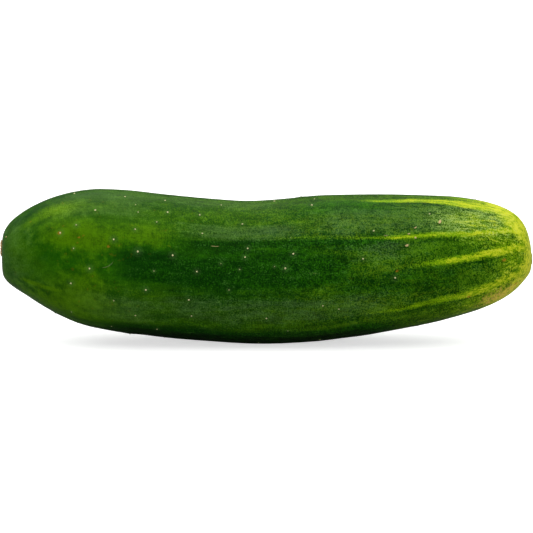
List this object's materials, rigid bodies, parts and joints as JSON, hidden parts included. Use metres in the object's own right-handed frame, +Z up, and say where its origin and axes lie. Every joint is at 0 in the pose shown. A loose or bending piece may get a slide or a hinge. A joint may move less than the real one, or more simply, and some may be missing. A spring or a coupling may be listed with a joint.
{
  "type": "cucumber",
  "caption": "Whole slicing cucumber, slightly bent, with blunt ribs, small warts and blunt ends, that rests on a small flat spot on its belly.",
  "frame": {"origin": "middle of the bounding box at the height of the resting plane", "axes": "+X along the fruit towards the blossom end, +Z up, -Y the side that the picture shows"},
  "size_m": [0.2, 0.0555, 0.0577],
  "materials": {
    "cucumber": "dark green waxy rind, semi-gloss, with pale yellow-green stripes towards the blossom end"
  },
  "bodies": {
    "root": {"cucumber": "cucumber"}
  },
  "joints": []
}
